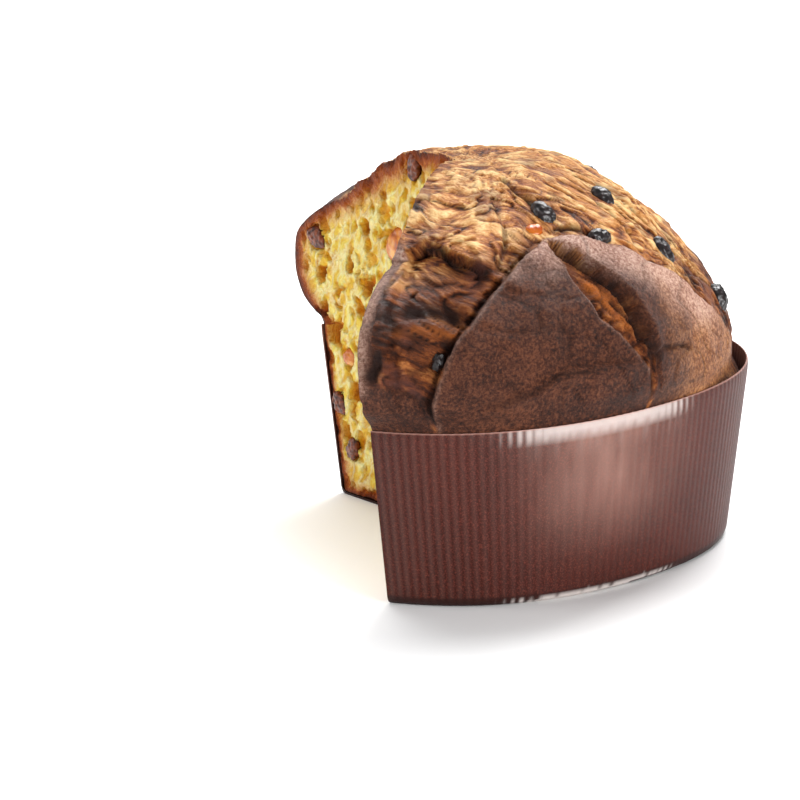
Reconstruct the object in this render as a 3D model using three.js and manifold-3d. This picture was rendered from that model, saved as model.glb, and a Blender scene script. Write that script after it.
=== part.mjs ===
// A low panettone in its paper baking case, with a wedge cut out of it down to the case's base.
// Millimetres, +Z up. It is modelled about the loaf's axis, which stands in the middle of the
// case's underside, and at the end it is moved so that the origin is below its middle.
// Compass angles run from +X towards +Y; the loaf's best side faces -Y, at 270 degrees.
// The crust is one surface about a centre point on the axis at rim height: a compass angle and
// a climb (0 level, 90 straight up) give a direction, and a formula gives the distance.
import * as THREE from "three";
import { mergeVertices } from "three/addons/utils/BufferGeometryUtils.js";
import Module from "manifold-3d";

const wasm = await Module();
wasm.setup();

// Paper case
const rimRadius = 106; // outside, at the top edge
const footRadius = 95.5; // outside, on the table
const caseHeight = 70;
const paperThickness = 0.9;
const squareness = 0.023; // the paper stands a little square, corners out at 0, 90, 180 and 270
const fitGap = 0.35; // between the paper and the loaf, and round each piece of fruit

// Loaf
const crownRadius = 80.5; // from the centre point up to the crown
const sideGrowth = 18.5; // how much further the side stands from the centre point than the crown
const sideCurve = 0.36;
const undersideHeight = paperThickness + fitGap;

// The wedge that is missing
const farCut = 125; // compass angle of the cut face that looks towards -Y
const nearCut = 250; // compass angle of the other cut face
const cutSetback = 3.5; // the two cuts meet this far beyond the axis, on the wedge's side

// Slow swellings of the loaf above the rim: where, how wide (both in degrees) and how high
const swellings = [
  { at: 240, climb: 18, across: 40, up: 21.5, high: 26 },
  { at: 307, climb: 15.5, across: 31, up: 30, high: 6.5 },
  { at: 398, climb: 10, across: 76, up: 14, high: 4.5 },
  { at: 500, climb: 14, across: 77, up: 13.5, high: 26.5 },
  { at: 249, climb: 37, across: 16.5, up: 14, high: -8 },
  { at: 370, climb: 34, across: 29, up: 21, high: -1.6 },
  { at: 475, climb: 28, across: 9, up: 12, high: 11.5 },
];

// Where the dough tore and its skin folded back: lines over the crust as [compass, climb] points.
// Each line lifts or sinks the crust on its left and right, seen from outside and looking along
// it, by [height at the line, distance over which that fades].
const frontFlapLeft = [[293, 41], [283, 35], [276, 28.5], [270, 22], [264.5, 14], [262, 6], [262.5, 1]];
const frontFlapRight = [[293, 41], [294, 35.5], [296, 28.5], [299, 21], [304, 15], [309, 8]];
const rightFlapLip = [[293.5, 40], [298.5, 36.5], [305.5, 29.5], [308.5, 25], [310, 19], [311, 11]];
const rightFlapTop = [[293, 41.5], [301, 40.5], [309, 38.5], [316, 35.5], [323, 30], [330, 25.5], [336, 19]];
const lowFold = [[265, 2.5], [271, 4], [277, 6], [283, 9], [290, 11], [297, 11], [306, 10.3]];
const lobeFoot = [[250, 38], [254.7, 41.5], [263, 39.3], [270.3, 35.3], [275, 32.2]];
const lobeSide = [[281, 56], [281.4, 43.3], [279.3, 37.5], [276.2, 32.2]];
const bandInside = [[253, 39], [253.4, 30], [253.2, 24], [253.4, 16], [254.6, 10]];
const tornStep = [[254, 21.6], [259.6, 22.6], [265.7, 21.3], [268.5, 20.5]];
const crownSeam = [[304, 76], [297, 60], [298.3, 54], [299.5, 49]];
const rightSeam = [[331.5, 57], [325.5, 48], [325.5, 40.7], [322.7, 31]];
const folds = [
  { line: frontFlapLeft, left: [3.2, 20], right: [-3.6, 9], soft: 1.6 },
  { line: frontFlapRight, left: [-2.6, 6], right: [0.8, 8], soft: 1.4 },
  { line: rightFlapLip, left: [4, 15], right: [-3.4, 5], soft: 1.4 },
  { line: rightFlapTop, left: [-1.4, 7], right: [1.6, 10], soft: 1.6 },
  { line: lowFold, left: [-1, 5], right: [1.8, 8], soft: 2 },
  { line: lobeFoot, left: [3.4, 16], right: [-4.2, 8], soft: 1.6 },
  { line: lobeSide, left: [-1.6, 8], right: [1.6, 12], soft: 1.8 },
  { line: bandInside, left: [-3.2, 9], right: [2.4, 6], soft: 1.4 },
  { line: tornStep, left: [-3.6, 5], right: [2, 7], soft: 1.4 },
  { line: crownSeam, left: [-1.8, 4], right: [-1.8, 4], soft: 1.5 },
  { line: rightSeam, left: [-1.5, 3.5], right: [-1.5, 3.5], soft: 1.5 },
];
// The side away from -Y tore in the same way: the front's folds again, turned round the axis.
const backTurns = [118, 165];
const foldsRepeated = 5; // the first so many folds of the list
const foldScale = 100; // the loaf's usual distance from its centre point, for lengths along it

// Fruit in the crust: [compass, climb, how far its length is turned from level, share of the usual size]
const crustRaisins = [
  [333.6, 50.3, 90, 1], [299, 49.6, 108, 1.1], [311.8, 39.4, 10, 1], [335.4, 31.6, 82, 1.1],
  [350.4, 15.3, 80, 1.2], [263.4, 14.3, 60, 0.65], [396, 48, 40, 1], [432, 30, 120, 1.1], [461, 52, 70, 1],
];
const crustPeel = [[292, 44.8, 15, 0.75]];
const raisinSize = [10.4, 7.2, 6]; // long, wide, thick
const peelSize = [10.5, 9, 7];
const sliced = 0.45; // the knife left this much of the outer half of the fruit in the cut faces
const proud = 0.5; // and they stand this far out of the crumb

// Fruit in the cut faces: [distance from the axis, height, kind, share of the usual size], and
// the holes of the open crumb: [distance, height, width, length]
const farFruit = [
  [45, 111, "peel", 1.65], [104, 106, "raisin", 1.1], [31, 145, "raisin", 1], [83, 59, "peel", 0.8],
  [92, 38, "raisin", 1], [84, 20, "raisin", 1], [30, 92, "raisin", 1], [47, 62, "raisin", 1],
  [24, 34, "peel", 1], [62, 26, "peel", 1],
];
const nearFruit = [
  [32, 118, "raisin", 1], [64, 106, "peel", 1], [94, 90, "raisin", 1.1], [40, 78, "raisin", 1],
  [74, 58, "peel", 1], [50, 30, "raisin", 1.1], [88, 32, "raisin", 1],
];
const farHoles = [
  [67, 115, 8, 8], [92.5, 67, 9, 12], [100, 77, 4.5, 9], [69, 90, 7, 8], [101, 91, 8, 7], [80, 44, 8, 11],
  [60, 74, 6, 9], [16, 104, 5, 9], [14, 66, 6, 11], [38, 46, 5.5, 9], [80, 98, 5, 7], [22, 128, 4.5, 7],
];
const nearHoles = [
  [100, 74, 5, 9], [78, 84, 6, 10], [60, 74, 5, 9], [40, 104, 6, 10], [16, 92, 5.5, 10], [24, 62, 6, 11],
  [62, 48, 6.5, 10], [94, 50, 5, 8], [40, 46, 5, 8], [20, 28, 6, 9], [70, 26, 6, 8], [56, 126, 5, 7],
];
const holeDepth = 3.2;

const radians = THREE.MathUtils.degToRad;
const degrees = THREE.MathUtils.radToDeg;

// A manifold-3d solid from a three.js geometry, and back
function solidOf(geometry) {
  const bare = geometry.index ? geometry.toNonIndexed() : geometry.clone();
  for (const name of Object.keys(bare.attributes)) {
    if (name !== "position") bare.deleteAttribute(name);
  }
  const merged = mergeVertices(bare, 1e-3);
  return new wasm.Manifold(new wasm.Mesh({
    numProp: 3,
    vertProperties: new Float32Array(merged.attributes.position.array),
    triVerts: new Uint32Array(merged.index.array),
  }));
}

function geometryOf(solid) {
  const { vertProperties, triVerts } = solid.getMesh();
  const geometry = new THREE.BufferGeometry();
  geometry.setAttribute("position", new THREE.BufferAttribute(vertProperties, 3));
  geometry.setIndex(new THREE.BufferAttribute(triVerts, 1));
  geometry.computeVertexNormals();
  return geometry;
}

// Compass angle brought into the span that the lists above use, 200 to 560
function unwrapped(compass) {
  return compass < 200 ? compass + 360 : compass;
}

function direction(compass, climb) {
  const a = radians(compass);
  const c = radians(climb);
  return new THREE.Vector3(Math.cos(a) * Math.cos(c), Math.sin(a) * Math.cos(c), Math.sin(c));
}

// The case's outline departs from a circle by this factor
function planFactor(compass) {
  return 1 + squareness * Math.cos(4 * radians(compass));
}

// What one fold adds to the crust at a direction
function foldHeight(fold, here, turn) {
  let nearest = Infinity;
  let side = 0;
  let along = 0;
  const points = fold.line.map(([compass, climb]) => {
    return direction(compass + turn, climb).multiplyScalar(foldScale);
  });
  for (let i = 0; i + 1 < points.length; i += 1) {
    const step = points[i + 1].clone().sub(points[i]);
    const offset = here.clone().sub(points[i]);
    const share = THREE.MathUtils.clamp(offset.dot(step) / step.lengthSq(), 0, 1);
    const gap = offset.addScaledVector(step, -share);
    if (gap.length() < nearest) {
      nearest = gap.length();
      side = Math.sign(gap.dot(here.clone().cross(step)));
      along = (i + share) / (points.length - 1);
    }
  }
  const ends = THREE.MathUtils.smoothstep(Math.min(along, 1 - along), -0.06, 0.14);
  const leftShare = 0.5 + 0.5 * Math.tanh((side * nearest) / fold.soft);
  const left = fold.left[0] * Math.exp(-nearest / fold.left[1]);
  const right = fold.right[0] * Math.exp(-nearest / fold.right[1]);
  return ends * (left * leftShare + right * (1 - leftShare));
}

// Loose lumps all over the crust
function lumps(p) {
  const broad = Math.sin(p.x / 15 + 1.3) * Math.sin(p.y / 13 + 0.4) * Math.cos(p.z / 14 + 2.1);
  const small = Math.sin(p.x / 6.3 + 0.7) * Math.cos(p.y / 5.7 + 2.2) * Math.sin(p.z / 6.9 + 1.1);
  return 1.3 * broad + 0.5 * small;
}

// Distance from the centre point to the crust, above the rim
function crustDistance(compass, climb) {
  const here = direction(compass, climb).multiplyScalar(foldScale);
  let distance = crownRadius + sideGrowth * (1 - Math.sin(radians(climb))) ** sideCurve;
  for (const s of swellings) {
    const across = (compass - s.at) / s.across;
    const up = (climb - s.climb) / s.up;
    distance += s.high * Math.exp(-across * across - up * up);
  }
  let relief = lumps(here);
  for (const fold of folds) relief += foldHeight(fold, here, 0);
  for (const turn of backTurns) {
    for (const fold of folds.slice(0, foldsRepeated)) relief += foldHeight(fold, here, turn);
  }
  return distance + relief * THREE.MathUtils.smoothstep(climb, 0.5, 7);
}

// Distance from the centre point to the loaf's surface in any direction: the crust above the
// rim, and the paper's inner wall and base below it, where the loaf took their shape
function loafDistance(compass, climb) {
  const c = radians(climb);
  const slope = (rimRadius - footRadius) / caseHeight;
  const wall = rimRadius * planFactor(compass) - paperThickness - fitGap;
  const toWall = wall / (Math.cos(c) - slope * Math.sin(c));
  const crust = crustDistance(unwrapped(compass), Math.max(climb, 0));
  if (climb < 0) {
    const shrunk = crust - climb * 0.9; // on the right the loaf has shrunk away from the paper's top
    const toBase = (caseHeight - undersideHeight) / Math.max(-Math.sin(c), 1e-6);
    return Math.min(toWall, shrunk, toBase);
  }
  const share = THREE.MathUtils.smoothstep(climb, 0, 5);
  return THREE.MathUtils.lerp(Math.min(toWall, crust), crust, share);
}

// The whole loaf before it was cut: a lathe of unit radius, each point moved out to the surface
function wholeLoaf() {
  const columns = 108;
  const underside = footRadius - paperThickness - fitGap;
  const baseClimb = -degrees(Math.atan((caseHeight - undersideHeight) / underside));
  const climbs = [-90, -60, baseClimb, -24, -12, -5, -1.5];
  const crustRows = 29;
  for (let i = 0; i <= crustRows; i += 1) climbs.push(90 * (i / crustRows) ** 1.08);
  const profile = climbs.map((climb) => {
    const onAxis = Math.abs(climb) === 90;
    return new THREE.Vector2(onAxis ? 0 : Math.cos(radians(climb)), Math.sin(radians(climb)));
  });
  const lathe = new THREE.LatheGeometry(profile, columns);
  lathe.rotateX(Math.PI / 2);
  const merged = mergeVertices(new THREE.BufferGeometry()
    .setAttribute("position", lathe.toNonIndexed().getAttribute("position")), 1e-4);
  const position = merged.getAttribute("position");
  const p = new THREE.Vector3();
  for (let i = 0; i < position.count; i += 1) {
    p.fromBufferAttribute(position, i);
    const climb = degrees(Math.asin(THREE.MathUtils.clamp(p.z, -1, 1)));
    const compass = (degrees(Math.atan2(p.y, p.x)) + 360) % 360;
    p.multiplyScalar(loafDistance(compass, climb));
    position.setXYZ(i, p.x, p.y, p.z + caseHeight);
  }
  return solidOf(merged);
}

// The missing wedge, as a tall prism whose edge stands just beyond the axis
const wedgeMiddle = radians((farCut + nearCut) / 2);
const wedgeEdge = new THREE.Vector2(Math.cos(wedgeMiddle), Math.sin(wedgeMiddle)).multiplyScalar(cutSetback);

function wedge() {
  const reach = 300;
  const out = (compass, far) => new THREE.Vector2(
    wedgeEdge.x + far * Math.cos(radians(compass)),
    wedgeEdge.y + far * Math.sin(radians(compass)),
  );
  const middle = (farCut + nearCut) / 2;
  const outline = new THREE.Shape([wedgeEdge, out(farCut, reach), out(middle, reach), out(nearCut, reach)]);
  const prism = new THREE.ExtrudeGeometry(outline, { depth: 240, bevelEnabled: false });
  prism.translate(0, 0, -40);
  return solidOf(prism);
}

// A small rounded lump: an icosphere stretched to size, dented a little so that no two look alike,
// and with its upper half pressed flat
function pebble([long, wide, thick], seed, grow = 0, flatness = 1) {
  const ball = new THREE.IcosahedronGeometry(1, 1);
  ball.deleteAttribute("normal");
  ball.deleteAttribute("uv");
  const merged = mergeVertices(ball, 1e-4);
  const position = merged.getAttribute("position");
  const p = new THREE.Vector3();
  for (let i = 0; i < position.count; i += 1) {
    p.fromBufferAttribute(position, i);
    const dent = 1 + 0.1 * Math.sin(3.1 * p.x + seed) * Math.cos(2.7 * p.y + 1.7 * seed);
    position.setXYZ(
      i,
      p.x * dent * (long / 2) + p.x * grow,
      p.y * dent * (wide / 2) + p.y * grow,
      p.z * dent * (thick / 2) * (p.z > 0 ? flatness : 1) + p.z * grow,
    );
  }
  return merged;
}

// Fruit as { name, kind, matrix, size, seed, flatness }: the matrix puts the fruit's own Z out of
// the surface
const fruit = [];

function sizeOf(kind, share) {
  return (kind === "peel" ? peelSize : raisinSize).map((length) => length * share);
}

function addFruit(name, kind, place, outwards, lie, seed, share, flatness) {
  const level = new THREE.Vector3(0, 0, 1).cross(outwards).normalize();
  const upSlope = outwards.clone().cross(level);
  const matrix = new THREE.Matrix4().makeBasis(level, upSlope, outwards);
  matrix.multiply(new THREE.Matrix4().makeRotationZ(radians(lie)));
  matrix.setPosition(place);
  fruit.push({ name, kind, matrix, size: sizeOf(kind, share), seed, flatness });
}

function addCrustFruit(list, kind) {
  const sunk = kind === "peel" ? 1.8 : 0.7; // the middle of the fruit lies this far under the crust
  list.forEach(([compass, climb, lie, share], i) => {
    const outwards = direction(compass, climb);
    const place = outwards.clone().multiplyScalar(crustDistance(compass, climb) - sunk);
    place.z += caseHeight;
    addFruit(`crust_${kind}_${i + 1}`, kind, place, outwards, lie, i + 1, share, 1);
  });
}

// A point on a cut face, and the way out of the crumb there
function onCut(compass, distance, height) {
  const a = radians(compass);
  return new THREE.Vector3(
    wedgeEdge.x + distance * Math.cos(a),
    wedgeEdge.y + distance * Math.sin(a),
    height,
  );
}

function outOfCut(compass) {
  const a = radians(compass === farCut ? compass + 90 : compass - 90);
  return new THREE.Vector3(Math.cos(a), Math.sin(a), 0);
}

function addCutFruit(list, compass, side) {
  const outwards = outOfCut(compass);
  list.forEach(([distance, height, kind, share], i) => {
    const sunk = (sizeOf(kind, share)[2] / 2) * sliced - proud;
    const place = onCut(compass, distance, height).addScaledVector(outwards, -sunk);
    addFruit(`${side}_${kind}_${i + 1}`, kind, place, outwards, 109 * i + 55, i + 0.5, share, sliced);
  });
}

addCrustFruit(crustRaisins, "raisin");
addCrustFruit(crustPeel, "peel");
addCutFruit(farFruit, farCut, "far");
addCutFruit(nearFruit, nearCut, "near");

// The holes of the open crumb, as flat eggs stood on a cut face
function crumbHoles(list, compass) {
  const outwards = outOfCut(compass);
  const up = new THREE.Vector3(0, 0, 1);
  const upright = new THREE.Matrix4().makeBasis(up.clone().cross(outwards), up, outwards);
  return list.map(([distance, height, width, length], i) => {
    const hole = pebble([width, length, 2 * holeDepth], 2.3 * i);
    const lean = new THREE.Matrix4().makeRotationZ(0.35 * Math.sin(2.1 * i));
    hole.applyMatrix4(lean).applyMatrix4(upright);
    const place = onCut(compass, distance, height);
    hole.translate(place.x, place.y, place.z);
    return solidOf(hole);
  });
}

function loaf() {
  let bread = wholeLoaf().subtract(wedge());
  for (const hole of crumbHoles(farHoles, farCut)) bread = bread.subtract(hole);
  for (const hole of crumbHoles(nearHoles, nearCut)) bread = bread.subtract(hole);
  for (const f of fruit) {
    const pocket = pebble(f.size, f.seed, fitGap, f.flatness).applyMatrix4(f.matrix);
    bread = bread.subtract(solidOf(pocket));
  }
  return bread;
}

// The paper case: base and wall in one, turned on a lathe, pushed a little square, then cut
function paperCase() {
  const columns = 88;
  const slope = (rimRadius - footRadius) / caseHeight;
  const profile = [
    [0, 0],
    [footRadius, 0],
    [rimRadius, caseHeight],
    [rimRadius - paperThickness, caseHeight],
    [footRadius - paperThickness + slope * paperThickness, paperThickness],
    [0, paperThickness],
  ].map(([r, z]) => new THREE.Vector2(r, z));
  const lathe = new THREE.LatheGeometry(profile, columns);
  lathe.rotateX(Math.PI / 2);
  const position = lathe.getAttribute("position");
  for (let i = 0; i < position.count; i += 1) {
    const x = position.getX(i);
    const y = position.getY(i);
    const push = planFactor(degrees(Math.atan2(y, x)));
    position.setXYZ(i, x * push, y * push, position.getZ(i));
  }
  return solidOf(lathe).subtract(wedge());
}

// Finishes
const crust = new THREE.MeshStandardMaterial({ color: 0x8a4f2a, roughness: 0.62, metalness: 0 });
const paper = new THREE.MeshStandardMaterial({ color: 0x6e3b33, roughness: 0.45, metalness: 0 });
const raisin = new THREE.MeshStandardMaterial({ color: 0x2c1710, roughness: 0.35, metalness: 0 });
const peel = new THREE.MeshStandardMaterial({ color: 0xd9761c, roughness: 0.3, metalness: 0 });

const panettone = new THREE.Group();

function add(name, geometry, material) {
  const mesh = new THREE.Mesh(geometry, material);
  mesh.name = name;
  panettone.add(mesh);
  return mesh;
}

add("paper_case", geometryOf(paperCase()), paper);
add("loaf", geometryOf(loaf()), crust);
for (const f of fruit) {
  const mesh = add(f.name, pebble(f.size, f.seed, 0, f.flatness), f.kind === "peel" ? peel : raisin);
  mesh.applyMatrix4(f.matrix);
}

// The origin goes below the middle of what is left of the loaf
panettone.updateMatrixWorld(true);
const middle = new THREE.Box3().setFromObject(panettone, true).getCenter(new THREE.Vector3());
for (const mesh of panettone.children) mesh.position.sub(new THREE.Vector3(middle.x, middle.y, 0));

export default panettone;
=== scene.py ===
# Low panettone in its paper baking case, with a wedge cut out of it
import math
import bpy
import bmesh
import numpy as np
from mathutils import Matrix, Vector


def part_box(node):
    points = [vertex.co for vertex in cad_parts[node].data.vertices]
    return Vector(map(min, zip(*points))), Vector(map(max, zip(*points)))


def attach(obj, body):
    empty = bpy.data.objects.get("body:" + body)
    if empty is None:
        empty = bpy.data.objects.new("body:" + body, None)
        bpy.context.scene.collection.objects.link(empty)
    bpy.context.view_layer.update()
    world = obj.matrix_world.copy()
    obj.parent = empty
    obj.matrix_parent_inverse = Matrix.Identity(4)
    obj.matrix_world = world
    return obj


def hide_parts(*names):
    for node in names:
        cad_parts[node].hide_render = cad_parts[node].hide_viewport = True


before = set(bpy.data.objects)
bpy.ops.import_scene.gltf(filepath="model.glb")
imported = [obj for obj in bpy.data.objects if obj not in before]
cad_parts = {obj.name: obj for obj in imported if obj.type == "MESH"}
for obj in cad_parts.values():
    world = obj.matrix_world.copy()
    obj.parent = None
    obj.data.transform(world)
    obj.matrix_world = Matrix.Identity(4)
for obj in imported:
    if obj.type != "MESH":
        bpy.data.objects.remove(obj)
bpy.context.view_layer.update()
scene = bpy.context.scene
mm = 0.001

# The form that the solids have too, in millimetres and degrees
form = {
    "rimRadius": 106, "footRadius": 95.5, "caseHeight": 70, "squareness": 0.023,
    "paper": 0.9, "fitGap": 0.35,
    "crownRadius": 80.5, "sideGrowth": 18.5, "sideCurve": 0.36,
    "farCut": 125, "nearCut": 250, "cutSetback": 3.5,
}
slope = (form["rimRadius"] - form["footRadius"]) / form["caseHeight"]
caseLow, caseHigh = (Vector(corner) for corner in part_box("paper_case"))
caseReach = form["rimRadius"] * (1 + form["squareness"]) * mm
loafAxis = Vector((caseHigh.x - caseReach, caseLow.y + caseReach, 0))  # all is modelled round it

wedgeMiddle = math.radians((form["farCut"] + form["nearCut"]) / 2)
wedgeEdge = np.array([math.cos(wedgeMiddle), math.sin(wedgeMiddle), 0]) * form["cutSetback"]


def linear(code):  # "#rrggbb" in sRGB to a linear colour
    parts = [int(code[i:i + 2], 16) / 255 for i in (1, 3, 5)]
    return [c / 12.92 if c <= 0.04045 else ((c + 0.055) / 1.055) ** 2.4 for c in parts] + [1]


def addNode(tree, kind, wires=None, stops=None, **settings):  # stops are those of a colour ramp
    node = tree.nodes.new(kind)
    for name, value in settings.items():
        setattr(node, name, value)
    for name, value in (wires or {}).items():
        if isinstance(value, bpy.types.Node):
            value = next(out for out in value.outputs if out.enabled)
        if isinstance(value, bpy.types.NodeSocket):
            tree.links.new(value, node.inputs[name])
        else:
            node.inputs[name].default_value = linear(value) if isinstance(value, str) else value
    for i, (position, code) in enumerate(stops or []):
        if i < 2:
            node.color_ramp.elements[i].position = position
        else:
            node.color_ramp.elements.new(position)
        node.color_ramp.elements[i].color = linear(code)
    return node


def newMaterial(name):
    material = bpy.data.materials.new(name)
    material.use_nodes = True
    tree = material.node_tree
    tree.nodes.clear()
    return material, tree


def finishMaterial(tree, shader):
    addNode(tree, "ShaderNodeOutputMaterial", {"Surface": shader})


def newPiece(name, bm, materials, smooth=True):
    mesh = bpy.data.meshes.new(name)
    bm.to_mesh(mesh)
    bm.free()
    piece = bpy.data.objects.new(name, mesh)
    scene.collection.objects.link(piece)
    for material in materials:
        mesh.materials.append(material)
    for face in mesh.polygons:
        face.use_smooth = smooth
    return piece


def places(mesh):
    flat = np.empty(len(mesh.vertices) * 3)
    mesh.vertices.foreach_get("co", flat)
    return flat.reshape(-1, 3)


def attribute(mesh, name, values):
    layer = mesh.attributes.new(name, "FLOAT", "POINT")
    layer.data.foreach_set("value", np.asarray(values, dtype=np.float32))


def moveIntoFrame(mesh):  # from mm round the loaf's axis to metres in the frame
    bm = bmesh.new()
    bm.from_mesh(mesh)
    bmesh.ops.translate(bm, vec=Vector(loafAxis) / mm, verts=bm.verts[:])
    bmesh.ops.scale(bm, vec=(mm, mm, mm), verts=bm.verts[:])
    bm.to_mesh(mesh)
    bm.free()


def cutAway(piece, cutter):  # Boolean difference, applied
    step = piece.modifiers.new("cut", "BOOLEAN")
    step.operation = "DIFFERENCE"
    step.solver = "MANIFOLD"
    step.object = cutter
    done = piece.evaluated_get(bpy.context.evaluated_depsgraph_get())
    mesh = bpy.data.meshes.new_from_object(done)
    # two faces back to back, left over where the surfaces just touch, are no part of the piece
    bm = bmesh.new()
    bm.from_mesh(mesh)
    slivers = [f for f in bm.faces if len({g for e in f.edges for g in e.link_faces}) == 2]
    bmesh.ops.delete(bm, geom=slivers, context="FACES")
    bm.to_mesh(mesh)
    bm.free()
    old = piece.data
    piece.modifiers.clear()
    piece.data = mesh
    bpy.data.meshes.remove(old)
    bpy.data.objects.remove(cutter)


spokes = np.random.default_rng(11).normal(size=(256, 3))
spokes /= np.linalg.norm(spokes, axis=1)[:, None]


def clouds(points, size, seed=0):  # smooth noise from about -1 to 1, its lumps about size wide
    p = points / size + 31.7 * seed
    cell = np.floor(p).astype(np.int64)
    part = p - cell
    fade = part * part * part * (part * (part * 6 - 15) + 10)
    total = np.zeros(len(p))
    for corner in np.ndindex(2, 2, 2):
        node = cell + corner
        mixed = node[:, 0] * 73856093 ^ node[:, 1] * 19349663 ^ node[:, 2] * 83492791
        spoke = spokes[(mixed ^ (mixed >> 9)) & 255]
        weight = np.prod(np.where(corner, fade, 1 - fade), axis=1)
        total += weight * ((part - corner) * spoke).sum(axis=1)
    return 1.7 * total


def creases(points, size, seed=0):  # sharp ridges between rounded valleys, 0 to 1
    return 1 - np.abs(clouds(points, size, seed))


def between(x, low, high):  # smooth step
    t = np.clip((x - low) / (high - low), 0, 1)
    return t * t * (3 - 2 * t)


# Swellings: compass, climb, half widths of both, height
swellings = [
    (240, 18, 40, 21.5, 26), (307, 15.5, 31, 30, 6.5), (398, 10, 76, 14, 4.5), (500, 14, 77, 13.5, 26.5),
    (249, 37, 16.5, 14, -8), (370, 34, 29, 21, -1.6), (475, 28, 9, 12, 11.5),
]

# Lines over the crust as (compass, climb) points
frontFlapLeft = [(293, 41), (283, 35), (276, 28.5), (270, 22), (264.5, 14), (262, 6), (262.5, 1)]
frontFlapRight = [(293, 41), (294, 35.5), (296, 28.5), (299, 21), (304, 15), (309, 8)]
rightFlapLip = [(293.5, 40), (298.5, 36.5), (305.5, 29.5), (308.5, 25), (310, 19), (311, 11)]
rightFlapTop = [(293, 41.5), (301, 40.5), (309, 38.5), (316, 35.5), (323, 30), (330, 25.5), (336, 19)]
lowFold = [(265, 2.5), (271, 4), (277, 6), (283, 9), (290, 11), (297, 11), (306, 10.3)]
lobeFoot = [(250, 38), (254.7, 41.5), (263, 39.3), (270.3, 35.3), (275, 32.2)]
lobeSide = [(281, 56), (281.4, 43.3), (279.3, 37.5), (276.2, 32.2)]
bandInside = [(253, 39), (253.4, 30), (253.2, 24), (253.4, 16), (254.6, 10)]
tornStep = [(254, 21.6), (259.6, 22.6), (265.7, 21.3), (268.5, 20.5)]
crownSeam = [(304, 76), (297, 60), (298.3, 54), (299.5, 49)]
rightSeam = [(331.5, 57), (325.5, 48), (325.5, 40.7), (322.7, 31)]
amberSlit = [(299.5, 27.5), (302.5, 25), (303.5, 21), (306, 18.5)]  # amber patches beside the flap
hollowLedge = [(255, 20.2), (261.8, 19.9), (267.8, 19.6)]  # and fainter ones on this ledge
bandOutside = [(262.1, 40.5), (254, 39.6), (249.5, 34.5), (249.6, 25.8), (249.6, 19), (249.2, 14.7),
               (248.9, 9)]
blisterSpot = (257.4, 44.6)

# Folds: line, then height and reach of the lift on its left and on its right, and how soft
folds = [
    (frontFlapLeft, 3.2, 20, -3.6, 9, 0.7),
    (frontFlapRight, -2.6, 6, 0.8, 8, 0.6),
    (rightFlapLip, 4.0, 15, -3.4, 5, 0.6),
    (rightFlapTop, -1.4, 7, 1.6, 10, 0.8),
    (lowFold, -1.0, 5, 1.8, 8, 1.0),
    (lobeFoot, 3.4, 16, -4.2, 8, 0.7),
    (lobeSide, -1.6, 8, 1.6, 12, 0.8),
    (bandInside, -3.2, 9, 2.4, 6, 0.7),
    (tornStep, -3.6, 5, 2.0, 7, 0.7),
    (crownSeam, -1.8, 4, -1.8, 4, 0.8),
    (rightSeam, -1.5, 3.5, -1.5, 3.5, 0.8),
]
backTurns = (118, 165)  # the side away from -Y repeats the first folds
foldsRepeated = 5

# Cracks: line, how far to its left they lie, half width, depth
cracks = [
    (rightFlapLip, -1.5, 1.3, 4.0),
    ([(300.8, 30.3), (303.8, 28.2), (305.6, 26.1), (306.2, 24.3)], 0, 1.1, 2.2),
    ([(303, 24), (305.2, 21.6), (307.4, 19.2), (308.8, 17.4)], 0, 1.0, 2.6),
    ([(307.4, 16.9), (309.6, 14.5), (311.3, 11.7)], 0, 1.0, 2.4),
    (frontFlapLeft, -1.0, 0.8, 1.3),
    ([(253, 39.8), (257, 41), (261.5, 40.4), (264.5, 37.4), (270, 34.6)], 0, 1.2, 2.4),
    (lobeSide, 0, 0.8, 1.3),
    ([(257.6, 12.0), (260, 12.8), (262.7, 14.1)], 0, 1.6, 1.4),
    ([(254.9, 23.9), (258, 24.4), (263, 24.0), (269, 22.7)], 0, 3.6, 2.6),
    ([(252.2, 16.4), (252.2, 13.6), (250.1, 9.9)], 0, 2.3, 2.6),
    ([(255.6, 16.5), (258.2, 16.8)], 0, 0.8, 1.4),
    ([(254.6, 40.9), (258.5, 41.6), (262.7, 40.3)], 0, 0.8, 1.8),
    ([(253.4, 35.4), (251.4, 28.5), (251.7, 19)], 0, 0.8, 1.5),
    ([(256.2, 28.2), (257, 27.5)], 0, 1.4, 2.0),
    ([(271, 32.6), (271.9, 31.9)], 0, 1.3, 2.0),
    ([(292, 66), (293.2, 64.6), (294.9, 57.7), (299.6, 52.6)], 0, 1.5, 2.8),
    ([(297.6, 44.4), (301.4, 43.2), (306, 41.6), (311, 40)], 0, 1.5, 2.2),
    (rightSeam, 0, 0.9, 1.6),
    ([(309.2, 10.7), (313.9, 11.9), (318.9, 11.6), (324.4, 10)], 0, 0.9, 2.0),
    ([(309, 9), (309.4, 1)], 0, 0.8, 1.6),
    ([(276, 5.6), (283, 8.6), (287.6, 10.6), (297, 10.8)], -0.6, 0.8, 1.4),
    ([(364, 65), (341.6, 53.5), (340.7, 41.6), (342.1, 28.7), (339.5, 21)], 0, 1.1, 1.9),
    ([(262.5, 0), (258.5, 8), (254.6, 10)], 0, 0.8, 1.0),
    ([(281, 54), (280.9, 47), (280.7, 40.5), (278.3, 36.2)], 0, 0.9, 1.5),
    ([(299.4, 33.6), (301.2, 32.4)], 0, 1.6, 1.6),
]
backCracks = (0, 1, 2, 4, 10, 13)  # the cracks that it repeats too

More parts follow.
